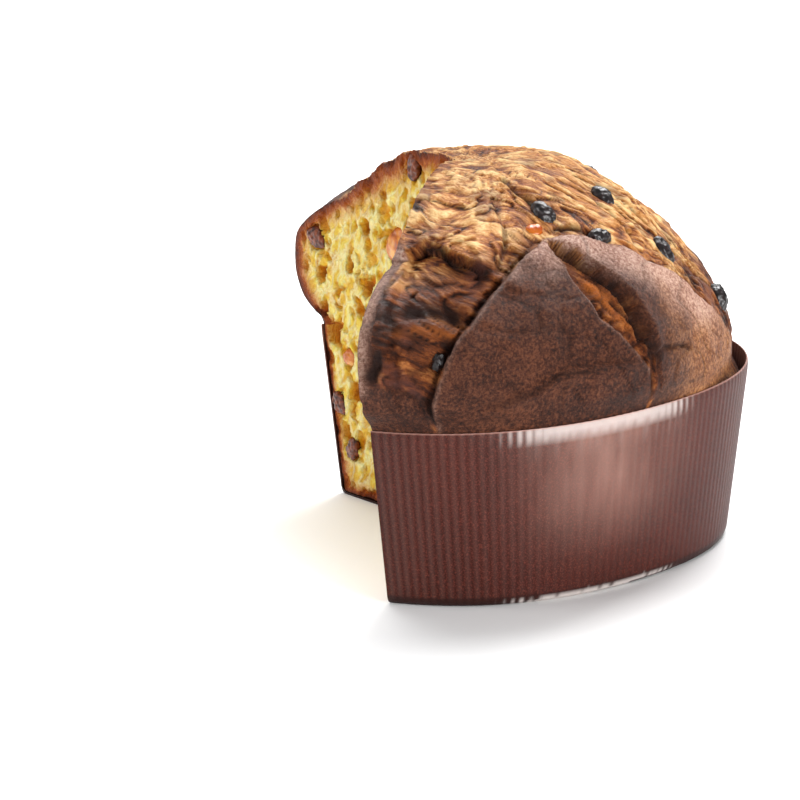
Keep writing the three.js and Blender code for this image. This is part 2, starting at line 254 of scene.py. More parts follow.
# Where the smooth skin of the dough is whole, as closed outlines
skinAreas = [
    [(293, 41), (283, 35), (276, 28.5), (270, 22), (264.5, 14), (262, 6), (262.5, -3),
     (309, -3), (309, 8), (304, 15), (299, 21), (296, 28.5), (294, 35.5)],
    [(293, 41.5), (301, 40.5), (309, 38.5), (316, 35.5), (323, 30), (330, 25.5), (336, 19), (343, 13),
     (350, 6), (352, -3), (309.5, -3), (311, 11), (310, 19), (308.5, 25), (305.5, 29.5), (298.5, 36.5)],
    [(240, -3), (240, 10), (253, 10), (254.6, 10), (258, 8.3), (261.2, 5.3), (261.8, -3)],
    [(240, 8), (240, 44), (250, 42), (251.6, 38.5), (251.4, 30), (251.2, 24), (251.4, 16), (252.5, 10)],
]


def heading(compass, climb):
    a, c = np.radians(compass), np.radians(climb)
    return np.stack([np.cos(a) * np.cos(c), np.sin(a) * np.cos(c), np.sin(c) + 0 * a], axis=-1)


def lineField(line, here, turn=0):  # distance in mm over the crust, side (+1 left), share along
    points = np.array([heading(compass + turn, climb) for compass, climb in line]) * 100
    nearest = np.full(len(here), 1e9)
    side = np.zeros(len(here))
    along = np.zeros(len(here))
    for i in range(len(points) - 1):
        step = points[i + 1] - points[i]
        offset = here - points[i]
        share = np.clip(offset @ step / (step @ step), 0, 1)
        gap = offset - share[:, None] * step
        distance = np.linalg.norm(gap, axis=1)
        closer = distance < nearest
        nearest = np.where(closer, distance, nearest)
        side = np.where(closer, np.sign((gap * np.cross(here, step)).sum(axis=1)), side)
        along = np.where(closer, (i + share) / (len(points) - 1), along)
    return nearest, side, along


def areaField(outline, compass, climb, here, turn=0):  # how far inside an outline, in mm
    xs = np.array([p[0] + turn for p in outline])
    ys = np.array([p[1] for p in outline])
    x = np.mod(compass - xs.mean() + 180, 360) - 180 + xs.mean()
    inside = np.zeros(len(x), dtype=bool)
    for i in range(len(xs)):
        x0, y0, x1, y1 = xs[i - 1], ys[i - 1], xs[i], ys[i]
        crosses = (y0 > climb) != (y1 > climb)
        at = x0 + (climb - y0) * (x1 - x0) / (y1 - y0 if y1 != y0 else 1e-9)
        inside ^= crosses & (x < at)
    nearest, _, _ = lineField(outline + outline[:1], here, turn)
    return np.where(inside, nearest, -nearest)


crustFruit = [  # compass and climb of the fruit in the crust, as in the solids
    (333.6, 50.3), (299, 49.6), (311.8, 39.4), (335.4, 31.6), (350.4, 15.3), (263.4, 14.3), (396, 48),
    (432, 30), (461, 52), (292, 44.8),
]
fibreAxis = np.array([0.80, -0.15, -0.42])  # the torn dough's fibres run this way
fibreAxis /= np.linalg.norm(fibreAxis)


def fibrous(points, stretch):  # squeezes space so that noise runs along the fibres
    swirl = np.stack([clouds(points, 34, s) for s in (3, 4, 5)], axis=1)
    bent = points + 8 * swirl
    run = bent @ fibreAxis
    return bent - run[:, None] * fibreAxis * (1 - 1 / stretch)


# What the crust's finish reads of each point
crustMarks = ("skin", "dark", "layered", "pale", "warmAndLit", "golden", "plum", "amber")


def crustFields(compass, climb):  # distance to the crust above the rim, and what its finish needs
    turned = np.where(compass < 200, compass + 360, compass)
    here = heading(compass, climb) * 100
    bent = here + 0.9 * np.stack([clouds(here, 9, s) for s in (7, 8, 9)], axis=1)
    rise = 1 - np.sin(np.radians(np.clip(climb, 0, 90)))
    distance = form["crownRadius"] + form["sideGrowth"] * rise ** form["sideCurve"]
    for at, up, across, high, size in swellings:
        distance = distance + size * np.exp(-((turned - at) / across) ** 2 - ((climb - up) / high) ** 2)
    x, y, z = here.T
    relief = 1.3 * np.sin(x / 15 + 1.3) * np.sin(y / 13 + 0.4) * np.cos(z / 14 + 2.1)
    relief += 0.5 * np.sin(x / 6.3 + 0.7) * np.cos(y / 5.7 + 2.2) * np.sin(z / 6.9 + 1.1)
    allFolds = [(fold, 0) for fold in folds]
    allFolds += [(fold, turn) for turn in backTurns for fold in folds[:foldsRepeated]]
    for (line, leftUp, leftReach, rightUp, rightReach, soft), turn in allFolds:
        gap, side, along = lineField(line, bent, turn)
        ends = between(np.minimum(along, 1 - along), -0.06, 0.14)
        leftShare = 0.5 + 0.5 * np.tanh(side * gap / soft)
        relief += ends * (leftUp * np.exp(-gap / leftReach) * leftShare
                          + rightUp * np.exp(-gap / rightReach) * (1 - leftShare))
    skin = np.full(len(x), -99.0)
    for outline in skinAreas:
        skin = np.maximum(skin, areaField(outline, turned, climb, bent))
    for turn in backTurns:
        for outline in skinAreas[:2]:
            skin = np.maximum(skin, areaField(outline, turned, climb, bent, turn))
    skin = between(skin + 1.2 * clouds(here, 5, 2), -0.9, 0.9)
    torn = 1 - skin
    dark = np.zeros(len(x))
    allCracks = [(crack, 0) for crack in cracks]
    allCracks += [(cracks[i], turn) for turn in backTurns for i in backCracks]
    for (line, offset, width, depth), turn in allCracks:
        gap, side, along = lineField(line, bent, turn)
        ends = between(np.minimum(along, 1 - along), -0.01, 0.16)
        groove = np.exp(-((gap * side - offset) / width) ** 2) * ends * (0.9 + 0.25 * clouds(here, 7, 12))
        relief -= depth * groove
        # the shade in the cracks is painted in as dark too
        dark = np.maximum(dark, groove * min(1, depth / 2.4))
    # torn dough: each flake rises slowly over most of its share of the way and drops over the rest;
    # they lie along the way it was pulled
    drawn = fibrous(here, 2.6)
    phase = 2.6 * clouds(drawn, 15, 1) + 0.45 * clouds(drawn, 4.5, 2) + 0.12 * clouds(drawn, 1.8, 3)
    share = phase - np.floor(phase)
    rising = 0.78
    flake = np.where(share < rising, share / rising, (1 - share) / (1 - rising))
    strands = np.abs(clouds(fibrous(here, 3.0), 4.2, 4)) ** 0.8
    swell = clouds(fibrous(here, 1.6), 15, 21)
    flow = 1.2 * (flake - 0.5) + 0.9 * (strands - 0.3) + 1.1 * swell
    layered = 0.55 * flake + 0.45 * np.clip(1.5 * strands, 0, 1)
    patchy = between(clouds(here, 14, 14), -0.3, 0.25)
    slit = patchy * np.exp(-(np.minimum(share, 1 - share) / 0.07) ** 2)
    slit = np.maximum(0.8 * slit, 0.45 * (1 - patchy) * np.exp(-(strands / 0.12) ** 2))
    # the shade in the slits between the flakes is painted in as dark
    dark = np.maximum(dark, torn * slit)
    held = np.zeros(len(x))  # the crust lies flat round each piece of fruit
    for spot in crustFruit:
        gap = np.linalg.norm(here - heading(*spot) * 100, axis=1)
        held = np.maximum(held, np.exp(-(gap / 5.5) ** 2))
    relief += torn * flow * (1 - held) - 0.9 * held
    wrinkle = between(creases(fibrous(here, 3), 13, 8), 0.9, 1)
    relief += skin * (0.5 * clouds(here, 7, 6) + 0.25 * clouds(here, 3.2, 16) - 0.4 * wrinkle)
    # and the shade in the skin's wrinkles is painted in as dark
    dark = np.maximum(dark, skin * 0.3 * wrinkle)
    # pale: painted highlights on the flaps' ridges, and painted sheen on the top of both flaps
    ridge = np.exp(-(lineField(frontFlapRight, bent)[0] / 0.8) ** 2)
    edge = np.exp(-(lineField(frontFlapLeft, bent)[0] / 1.3) ** 2)
    fromTop = lineField(rightFlapTop, bent)[0] + 5 * clouds(here, 12, 17)
    high = between(climb + 5 * clouds(here, 12, 17), 27, 41)
    paintedTopSheen = 0.75 * skin * np.where(turned > 294, 1 - between(fromTop, 2, 23), high)
    pale = np.maximum(np.maximum(0.7 * ridge, 0.22 * edge), paintedTopSheen)
    # the skin on the right is warmer in colour, and also painted lighter for the light falling on it from
    # the right
    warmAndLit = skin * between(np.mod(turned, 360) + 7 * clouds(here, 14, 18), 312, 330)
    # the torn dough is golden towards the crown and browner lower down, partly its colour and partly
    # painted shade
    golden = between(climb + 6 * clouds(here, 16, 19) + 11 * between(turned, 312, 326), 29, 42)
    # under the lip of the right flap the dough is brown, and the lip's shade on it is laid in as colour
    gap, side, _ = lineField(rightFlapLip, bent)
    below = (side < 0) * np.exp(-(gap / 15) ** 4)
    golden = golden * (1 - below)
    dark = np.maximum(dark, 0.55 * torn * (side < 0) * np.exp(-(gap / 3.5) ** 2))
    amber = np.exp(-(lineField(amberSlit, bent)[0] / 2.2) ** 2)
    amber = np.maximum(amber, 0.5 * np.exp(-(lineField(hollowLedge, bent)[0] / 1.8) ** 2))
    pale = np.maximum(pale, skin * 0.45 * np.exp(-(lineField(bandOutside, bent)[0] / 1.9) ** 2))
    blister = np.linalg.norm(here - heading(*blisterSpot) * 100, axis=1)
    relief += 1.6 * np.exp(-(blister / 5) ** 2)
    plum = np.maximum(np.exp(-(blister / 6) ** 2), 0.75 * between(clouds(here, 11, 23), 0.22, 0.5))
    distance = distance + relief * between(climb, 0.5, 7)
    return {"distance": distance, "skin": skin, "dark": np.clip(1.3 * dark, 0, 1), "layered": layered,
            "pale": np.clip(pale, 0, 1), "warmAndLit": warmAndLit, "golden": golden,
            "plum": torn * plum, "amber": torn * amber}


def loafFields(compass, climb):  # the same for the whole loaf, down to its underside
    c = np.radians(climb)
    square = 1 + form["squareness"] * np.cos(4 * np.radians(compass))
    wall = form["rimRadius"] * square - form["paper"] - form["fitGap"]
    toWall = wall / (np.cos(c) - slope * np.sin(c))
    fields = crustFields(compass, np.maximum(climb, 0))
    crust = fields["distance"]
    toBase = (form["caseHeight"] - form["paper"] - form["fitGap"]) / np.maximum(-np.sin(c), 1e-6)
    below = np.minimum(np.minimum(toWall, crust - climb * 0.9), toBase)
    above = crust + (np.minimum(toWall, crust) - crust) * (1 - between(climb, 0, 5))
    fields["distance"] = np.where(climb < 0, below, above)
    fields["skin"] = np.maximum(fields["skin"], between(-climb, 0, 4))
    return fields


def loafPlaces(compass, climb):  # points of the loaf's surface, in mm about the case's middle
    points = heading(compass, climb) * loafFields(compass, climb)["distance"][:, None]
    points[:, 2] += form["caseHeight"]
    return points


def fieldsAt(points):  # the same for any points, with their depth under the crust in mm
    fromCentre = points - np.array([0, 0, form["caseHeight"]])
    reach = np.linalg.norm(fromCentre, axis=1)
    climb = np.degrees(np.arcsin(np.clip(fromCentre[:, 2] / reach, -1, 1)))
    compass = np.mod(np.degrees(np.arctan2(points[:, 1], points[:, 0])), 360)
    fields = loafFields(compass, climb)
    fields["depth"] = fields["distance"] - reach
    fields["climb"] = climb
    return fields


crumb = {
    "farPitch": 0.7, "nearPitch": 1.1,  # mm between points of the face
    "reach": 132, "top": 160, "below": 5,  # the face's extent in mm; it begins below the table
    # sizes of the cells: how much of the face they cover, length, width and depth in mm
    "cells": [
        (0.14, (6.0, 11), (4.0, 7.0), (2.2, 4.0)),
        (0.16, (3.0, 6.0), (2.0, 3.8), (1.2, 2.6)),
    ],
    "holeDepth": 5.2,
    "fruitBowl": (10.4, 9.4, 3.4),  # the hollow round a piece of fruit: length, width and depth in mm
}

# Fruit and large holes on the faces, as in the solids: distance from the axis, height, kind or size
farFruit = [
    (45, 111, "peel", 1.65), (104, 106, "raisin", 1.1), (31, 145, "raisin", 1), (83, 59, "peel", 0.8),
    (92, 38, "raisin", 1), (84, 20, "raisin", 1), (30, 92, "raisin", 1), (47, 62, "raisin", 1),
    (24, 34, "peel", 1), (62, 26, "peel", 1),
]
nearFruit = [
    (32, 118, "raisin", 1), (64, 106, "peel", 1), (94, 90, "raisin", 1.1), (40, 78, "raisin", 1),
    (74, 58, "peel", 1), (50, 30, "raisin", 1.1), (88, 32, "raisin", 1),
]
farHoles = [
    (67, 115, 8, 8), (92.5, 67, 9, 12), (100, 77, 4.5, 9), (69, 90, 7, 8), (101, 91, 8, 7), (80, 44, 8, 11),
    (60, 74, 6, 9), (16, 104, 5, 9), (14, 66, 6, 11), (38, 46, 5.5, 9), (80, 98, 5, 7), (22, 128, 4.5, 7),
]
nearHoles = [
    (100, 74, 5, 9), (78, 84, 6, 10), (60, 74, 5, 9), (40, 104, 6, 10), (16, 92, 5.5, 10), (24, 62, 6, 11),
    (62, 48, 6.5, 10), (94, 50, 5, 8), (40, 46, 5, 8), (20, 28, 6, 9), (70, 26, 6, 8), (56, 126, 5, 7),
]


def cellMap(xs, ys, holes, fruit, seed):  # depth of the cut face's cells, in mm
    rng = np.random.default_rng(seed)
    gridX, gridY = np.meshgrid(xs, ys)
    flat = np.stack([gridX.ravel(), gridY.ravel(), np.full(gridX.size, 5.0 * seed)], axis=1)
    bendX = (1.5 * clouds(flat, 5, 1) + 0.7 * clouds(flat, 2, 2)).reshape(gridX.shape)
    bendY = (1.5 * clouds(flat, 5, 3) + 0.7 * clouds(flat, 2, 4)).reshape(gridX.shape)
    depth = np.zeros_like(gridX)

    def carve(x, y, length, wide, deep, lean, blunt):
        reach = length / 2 + 2
        c0, c1 = np.searchsorted(xs, (x - reach, x + reach))
        r0, r1 = np.searchsorted(ys, (y - reach, y + reach))
        if c0 >= c1 or r0 >= r1:
            return
        dx = gridX[r0:r1, c0:c1] + bendX[r0:r1, c0:c1] - x
        dy = gridY[r0:r1, c0:c1] + bendY[r0:r1, c0:c1] - y
        u = (dx * math.cos(lean) - dy * math.sin(lean)) / (wide / 2)
        v = (dx * math.sin(lean) + dy * math.cos(lean)) / (length / 2)
        bowl = deep * np.clip(1 - u * u - v * v, 0, 1) ** blunt
        window = depth[r0:r1, c0:c1]
        np.maximum(window, bowl, out=window)

    area = (xs[-1] - xs[0]) * (ys[-1] - ys[0])
    for share, lengths, widths, depths in crumb["cells"]:
        size = np.mean(lengths) * np.mean(widths) * math.pi / 4
        for _ in range(int(share * area / size)):
            x, y = rng.uniform(xs[0], xs[-1]), rng.uniform(ys[0], ys[-1])
            lean = rng.normal(-0.4 if y > 80 else -0.1, 0.4)
            carve(x, y, rng.uniform(*lengths), rng.uniform(*widths), rng.uniform(*depths), lean, 0.4)
    for i, (x, y, wide, length) in enumerate(holes):
        carve(x, y, length, wide, crumb["holeDepth"], 0.35 * math.sin(2.1 * i), 0.4)
    length, wide, deep = crumb["fruitBowl"]
    for x, y, _, share in fruit:
        carve(x, y, length * share, wide * share, deep, 0.6, 0.3)
    depth += 0.15 * (1 + clouds(flat, 1.6, 6).reshape(depth.shape))
    return depth * between(gridX, 1.5, 7)


cutFaces = []  # of each: way along, way out, and the map of its cells


def cutSlab(name, compass, wedgeTurn, pitch, holes, fruit, seed):  # what cuts one face of the wedge
    xs = np.arange(0, crumb["reach"], pitch)
    ys = np.arange(-crumb["below"], crumb["top"], pitch)
    along, out = heading(compass, 0.0), heading(compass + wedgeTurn, 0.0)
    cells = cellMap(xs, ys, holes, fruit, seed)
    gridX, gridZ = np.meshgrid(xs, ys)
    flat = wedgeEdge + gridX.reshape(-1, 1) * along + gridZ.reshape(-1, 1) * np.array([0, 0, 1])
    # the cells get shallow towards the crust, and the knife left the face a little wavy
    cells *= 0.25 + 0.75 * between(fieldsAt(flat)["depth"], 0.5, 6).reshape(cells.shape)
    wave = 0.5 * (1 + clouds(flat, 19, seed).reshape(cells.shape)) * between(gridX, 1.5, 7)
    cutFaces.append((along, out, xs, ys, cells))
    bm = bmesh.new()
    bmesh.ops.create_grid(bm, x_segments=len(xs) - 1, y_segments=len(ys) - 1, size=0.5)
    for vert in bm.verts:
        column = round((vert.co.x + 0.5) * (len(xs) - 1))
        row = round((vert.co.y + 0.5) * (len(ys) - 1))
        point = wedgeEdge + along * xs[column] - out * (cells[row, column] + wave[row, column])
        vert.co = point[0], point[1], ys[row]
    back = bmesh.ops.extrude_face_region(bm, geom=bm.faces[:])["geom"]
    for vert in [g for g in back if isinstance(g, bmesh.types.BMVert)]:
        # the back is flat, so that the slab is thick everywhere
        offset = np.array(vert.co) - wedgeEdge
        vert.co = Vector(np.array(vert.co) + out * (150 - offset @ out))
    bmesh.ops.recalc_face_normals(bm, faces=bm.faces[:])
    return newPiece(name, bm, [])


def crustMaterial():
    # Bread crust: sugar and flour skin browned dry in the oven. Smooth and dull where the skin is
    # whole, golden and flaky where the dough tore, with the shade in its cracks painted near black.
    material, tree = newMaterial("browned bread crust")
    spot = addNode(tree, "ShaderNodeTexCoord").outputs["Object"]
    own = {name: addNode(tree, "ShaderNodeAttribute", attribute_name=name).outputs["Fac"]
           for name in crustMarks}
    grain = addNode(tree, "ShaderNodeAttribute", attribute_name="grain").outputs["Vector"]
    # whole skin: grains about 1 mm wide and finer, and darker clouds about 17 mm wide
    grains = addNode(tree, "ShaderNodeTexNoise",
                     {"Vector": spot, "Scale": 800, "Detail": 5, "Roughness": 0.8})
    clouding = addNode(tree, "ShaderNodeTexNoise",
                       {"Vector": spot, "Scale": 60, "Detail": 6, "Roughness": 0.68})
    mixed = addNode(tree, "ShaderNodeMath", {0: clouding, 1: 0.35, 2: grains}, operation="MULTIPLY_ADD")
    skinTone = addNode(tree, "ShaderNodeValToRGB", {"Fac": mixed},
                       [(0.515, "#180a05"), (0.655, "#3a1b0f"), (0.795, "#653a26")])
    # the skin on the right: warmer, and painted lighter for the light from the right
    warmTone = addNode(tree, "ShaderNodeValToRGB", {"Fac": mixed},
                       [(0.495, "#43200f"), (0.655, "#7a4624"), (0.795, "#b27c4e")])
    skinTone = addNode(tree, "ShaderNodeMix", {0: own["warmAndLit"], 6: skinTone, 7: warmTone}, data_type="RGBA")
    # the pale tone of the flaps: their painted sheen on top and painted highlights on the ridges
    paleTone = addNode(tree, "ShaderNodeValToRGB", {"Fac": mixed},
                       [(0.495, "#6f4232"), (0.635, "#ab7c69"), (0.795, "#dcbcaa")])
    skinTone = addNode(tree, "ShaderNodeMix", {0: own["pale"], 6: skinTone, 7: paleTone}, data_type="RGBA")
    # torn dough: flakes painted darker at the foot and lighter on top, as their shade and highlight,
    # with streaks about 2 mm apart along the way it was pulled, patches about 10 mm wide, and the skin's
    # grains
    streaks = addNode(tree, "ShaderNodeTexNoise",
                      {"Vector": grain, "Scale": 0.55, "Detail": 5, "Roughness": 0.68, "Distortion": 0.5})
    patches = addNode(tree, "ShaderNodeTexNoise",
                      {"Vector": grain, "Scale": 0.1, "Detail": 4, "Roughness": 0.6})
    relief = addNode(tree, "ShaderNodeMath",
                     {0: own["layered"], 1: 0.34, 2: patches}, operation="MULTIPLY_ADD")
    relief = addNode(tree, "ShaderNodeMath", {0: streaks, 1: 0.9, 2: relief}, operation="MULTIPLY_ADD")
    relief = addNode(tree, "ShaderNodeMath", {0: grains, 1: 0.25, 2: relief}, operation="MULTIPLY_ADD")
    relief = addNode(tree, "ShaderNodeMapRange", {"Value": relief, "From Min": 0.9, "From Max": 1.6})
    browned = addNode(tree, "ShaderNodeValToRGB", {"Fac": relief},
                      [(0.15, "#1f0c05"), (0.38, "#45200e"), (0.58, "#753c1a"), (0.85, "#a96835")])
    gilded = addNode(tree, "ShaderNodeValToRGB", {"Fac": relief},
                     [(0.1, "#4a1f0c"), (0.33, "#925024"), (0.52, "#c58443"), (0.8, "#f4cb8c")])
    tornTone = addNode(tree, "ShaderNodeMix", {0: own["golden"], 6: browned, 7: gilded}, data_type="RGBA")
    tornTone = addNode(tree, "ShaderNodeMix",
                       {0: own["amber"], 6: tornTone, 7: "#a85c24"}, data_type="RGBA")
    plum = addNode(tree, "ShaderNodeMath", {0: own["plum"], 1: 0.6}, operation="MULTIPLY")
    tornTone = addNode(tree, "ShaderNodeMix", {0: plum, 6: tornTone, 7: "#633a32"}, data_type="RGBA")
    tone = addNode(tree, "ShaderNodeMix", {0: own["skin"], 6: tornTone, 7: skinTone}, data_type="RGBA")
    # the painted shade of the cracks, slits, wrinkles and under the lip: near black
    paintedShade = addNode(tree, "ShaderNodeMath", {0: own["dark"], 1: 0.95}, operation="MULTIPLY")
    tone = addNode(tree, "ShaderNodeMix", {0: paintedShade, 6: tone, 7: "#1c0a05"}, data_type="RGBA")
    fineRelief = addNode(tree, "ShaderNodeMath", {0: mixed, 1: 0.5}, operation="MULTIPLY")
    heights = addNode(tree, "ShaderNodeMix", {0: own["skin"], 2: relief, 3: fineRelief})
    bump = addNode(tree, "ShaderNodeBump", {"Height": heights, "Strength": 1.0, "Distance": 0.0022})
    finishMaterial(tree, addNode(tree, "ShaderNodeBsdfPrincipled", {
        "Base Color": tone, "Normal": bump, "Roughness": 0.5, "IOR": 1.45, "Specular IOR Level": 0.25,
    }))
    return material


def crumbMaterial():
    # Enriched bread crumb: egg-yellow gluten pulled into thin walls, browned towards the crust.
    material, tree = newMaterial("open yellow crumb")
    spot = addNode(tree, "ShaderNodeTexCoord").outputs["Object"]
    pit = addNode(tree, "ShaderNodeAttribute", attribute_name="pit").outputs["Fac"]
    rind = addNode(tree, "ShaderNodeAttribute", attribute_name="rind").outputs["Fac"]
    drift = addNode(tree, "ShaderNodeTexNoise", {"Vector": spot, "Scale": 170, "Detail": 4})
    bent = addNode(tree, "ShaderNodeVectorMath",
                   {0: drift.outputs["Color"], 1: (0.007, 0.007, 0.007), 2: spot}, operation="MULTIPLY_ADD")
    tall = addNode(tree, "ShaderNodeMapping",
                   {"Vector": bent, "Rotation": (0.4, 0.28, 0), "Scale": (1, 1, 2.3)},
                   vector_type="TEXTURE")
    # gluten drawn out into strands 5 mm wide towards the crown, pale on top, with cells of 4 mm
    # between them and threads of about 1 mm on them
    strands = addNode(tree, "ShaderNodeTexNoise",
                      {"Vector": tall, "Scale": 190, "Detail": 6, "Roughness": 0.62})
    edge = addNode(tree, "ShaderNodeTexVoronoi",
                   {"Vector": tall, "Scale": 230}, feature="DISTANCE_TO_EDGE")
    threads = addNode(tree, "ShaderNodeTexNoise",
                      {"Vector": tall, "Scale": 1100, "Detail": 5, "Roughness": 0.7})
    patches = addNode(tree, "ShaderNodeTexNoise", {"Vector": spot, "Scale": 60, "Detail": 3})
    tone = addNode(tree, "ShaderNodeValToRGB", {"Fac": strands},
                   [(0.3, "#d29420"), (0.42, "#ecbf38"), (0.52, "#f8dc58"), (0.64, "#fff29c")])
    wall = addNode(tree, "ShaderNodeMapRange",
                   {"Value": edge, "From Min": 0.02, "From Max": 0.22, "To Min": 0.6, "To Max": 0})
    tone = addNode(tree, "ShaderNodeMix", {0: wall, 6: tone, 7: "#fffad0"}, data_type="RGBA")
    fine = addNode(tree, "ShaderNodeValToRGB", {"Fac": threads},
                   [(0.34, "#e2b452"), (0.46, "#fbeab0"), (0.58, "#ffffff")])
    tone = addNode(tree, "ShaderNodeMix",
                   {0: 0.5, 6: tone, 7: fine}, data_type="RGBA", blend_type="MULTIPLY")
    # painted shade in the cells: darker and more golden the deeper they go
    deep = addNode(tree, "ShaderNodeMapRange", {"Value": pit, "From Min": 0.3, "From Max": 4.6})
    shade = addNode(tree, "ShaderNodeValToRGB", {"Fac": deep},
                    [(0.0, "#ffffff"), (0.25, "#fde29a"), (0.6, "#eeb24c"), (1.0, "#b8752a")])
    tone = addNode(tree, "ShaderNodeMix",
                   {0: 1.0, 6: tone, 7: shade}, data_type="RGBA", blend_type="MULTIPLY")
    ragged = addNode(tree, "ShaderNodeMath", {0: patches, 1: 0.9, 2: rind}, operation="MULTIPLY_ADD")
    torn = addNode(tree, "ShaderNodeMath", {0: threads, 1: 0.7, 2: ragged}, operation="MULTIPLY_ADD")
    browned = addNode(tree, "ShaderNodeMapRange", {"Value": torn, "From Min": 0.7, "From Max": 2.1})
    rim = addNode(tree, "ShaderNodeValToRGB", {"Fac": browned},
                  [(0.0, "#3c1507"), (0.18, "#7d350f"), (0.42, "#b75b17"), (0.8, "#dd9430")])
    inside = addNode(tree, "ShaderNodeMapRange", {"Value": browned, "From Min": 0.35, "From Max": 1.0})
    tone = addNode(tree, "ShaderNodeMix", {0: inside, 6: rim, 7: tone}, data_type="RGBA")
    heights = addNode(tree, "ShaderNodeMath", {0: threads, 1: 0.35, 2: strands}, operation="MULTIPLY_ADD")
    heights = addNode(tree, "ShaderNodeMath", {0: wall, 1: 0.35, 2: heights}, operation="MULTIPLY_ADD")
    bump = addNode(tree, "ShaderNodeBump", {"Height": heights, "Strength": 1.0, "Distance": 0.003})
    finishMaterial(tree, addNode(tree, "ShaderNodeBsdfPrincipled", {
        "Base Color": tone, "Normal": bump, "Roughness": 0.5, "IOR": 1.4, "Specular IOR Level": 0.3,
        "Subsurface Weight": 0.15, "Subsurface Radius": (0.003, 0.002, 0.0006), "Subsurface Scale": 1.0,
    }))
    return material


def paperMaterial():
    # Baking paper: brown kraft laminated over fine flutes, greaseproof, so it has a dull gloss.
    material, tree = newMaterial("brown baking paper")
    spot = addNode(tree, "ShaderNodeTexCoord").outputs["Object"]
    own = {name: addNode(tree, "ShaderNodeAttribute", attribute_name=name).outputs["Fac"]
           for name in ("crest", "laidSheen", "rimHighlightAndFootMarks", "rawEdge", "crimp")}
    # paper fibres gather in flecks under 1 mm wide
    flecks = addNode(tree, "ShaderNodeTexNoise",
                     {"Vector": spot, "Scale": 1500, "Detail": 4, "Roughness": 0.7})
    clouding = addNode(tree, "ShaderNodeTexNoise", {"Vector": spot, "Scale": 45, "Detail": 3})
    tone = addNode(tree, "ShaderNodeValToRGB", {"Fac": flecks},
                   [(0.3, "#1d0603"), (0.5, "#360e06"), (0.72, "#6e3225")])
    broad = addNode(tree, "ShaderNodeValToRGB", {"Fac": clouding}, [(0.35, "#2c0a05"), (0.65, "#481408")])
    tone = addNode(tree, "ShaderNodeMix", {0: 0.25, 6: tone, 7: broad}, data_type="RGBA")
    # the broad sheen of the front is painted in as a paler colour, and the highlights under the rim are
    # painted in as white streaks, with white marks at the foot below them
    tone = addNode(tree, "ShaderNodeMix", {0: own["laidSheen"], 6: tone, 7: "#b98e80"}, data_type="RGBA")
    # the flutes' sheen: their crests painted a little paler
    paintedCrestSheen = addNode(tree, "ShaderNodeMath", {0: own["crest"], 1: 0.1}, operation="MULTIPLY")
    tone = addNode(tree, "ShaderNodeMix", {0: paintedCrestSheen, 6: tone, 7: "#9a786e"}, data_type="RGBA")
    tone = addNode(tree, "ShaderNodeMix", {0: own["crimp"], 6: tone, 7: "#220c08"}, data_type="RGBA")
    tone = addNode(tree, "ShaderNodeMix", {0: own["rimHighlightAndFootMarks"], 6: tone, 7: "#d8cec9"}, data_type="RGBA")
    tone = addNode(tree, "ShaderNodeMix", {0: own["rawEdge"], 6: tone, 7: "#a87c70"}, data_type="RGBA")
    bump = addNode(tree, "ShaderNodeBump", {"Height": flecks, "Strength": 0.5, "Distance": 0.0004})
    finishMaterial(tree, addNode(tree, "ShaderNodeBsdfPrincipled", {
        "Base Color": tone, "Normal": bump, "Roughness": 0.42, "IOR": 1.5, "Specular IOR Level": 0.18,
    }))
    return material


def raisinMaterial(name, dark, light, gloss):
    # Raisin: dried grape skin, shrunk into folds, with a thin gloss of sugar and butter.
    material, tree = newMaterial(name)
    spot = addNode(tree, "ShaderNodeTexCoord").outputs["Object"]
    folded = addNode(tree, "ShaderNodeTexNoise", {"Vector": spot, "Scale": 520, "Detail": 3})
    tone = addNode(tree, "ShaderNodeValToRGB", {"Fac": folded}, [(0.35, dark), (0.68, light)])
    bump = addNode(tree, "ShaderNodeBump", {"Height": folded, "Strength": 0.5, "Distance": 0.0006})
    finishMaterial(tree, addNode(tree, "ShaderNodeBsdfPrincipled", {
        "Base Color": tone, "Normal": bump, "Roughness": gloss, "IOR": 1.48, "Specular IOR Level": 0.4,
        "Coat Weight": 0.12, "Coat Roughness": 0.2,
    }))
    return material


def peelMaterial():
    # Candied orange peel: sugar has made it clear, so light glows through it.
    material, tree = newMaterial("candied orange peel")
    spot = addNode(tree, "ShaderNodeTexCoord").outputs["Object"]
    cloudy = addNode(tree, "ShaderNodeTexNoise", {"Vector": spot, "Scale": 170, "Detail": 4})
    tone = addNode(tree, "ShaderNodeValToRGB", {"Fac": cloudy},
                   [(0.35, "#93400f"), (0.52, "#c56f24"), (0.68, "#e2a556")])
    bump = addNode(tree, "ShaderNodeBump", {"Height": cloudy, "Strength": 0.3, "Distance": 0.0008})
    finishMaterial(tree, addNode(tree, "ShaderNodeBsdfPrincipled", {
        "Base Color": tone, "Normal": bump, "Roughness": 0.24, "IOR": 1.47, "Specular IOR Level": 0.4,
        "Subsurface Weight": 0.3, "Subsurface Radius": (0.004, 0.0016, 0.0004), "Subsurface Scale": 1.0,
    }))
    return material


crustFinish = crustMaterial()
crumbFinish = crumbMaterial()
paperFinish = paperMaterial()
crustRaisinFinish = raisinMaterial("raisin baked in the crust", "#070405", "#1f1213", 0.38)
cutRaisinFinish = raisinMaterial("raisin in the crumb", "#3a160c", "#8a4320", 0.36)
peelFinish = peelMaterial()
print("materials made")


loafValues = {
    "segments": 180,
    "fine": (248, 352, 2, 62),  # twice as fine between these two of the compass and two of the climb
    "rowsBelow": [-1.5, -3.5, -6, -9, -13, -20, -28, -36],  # climb of the rows inside the case
}


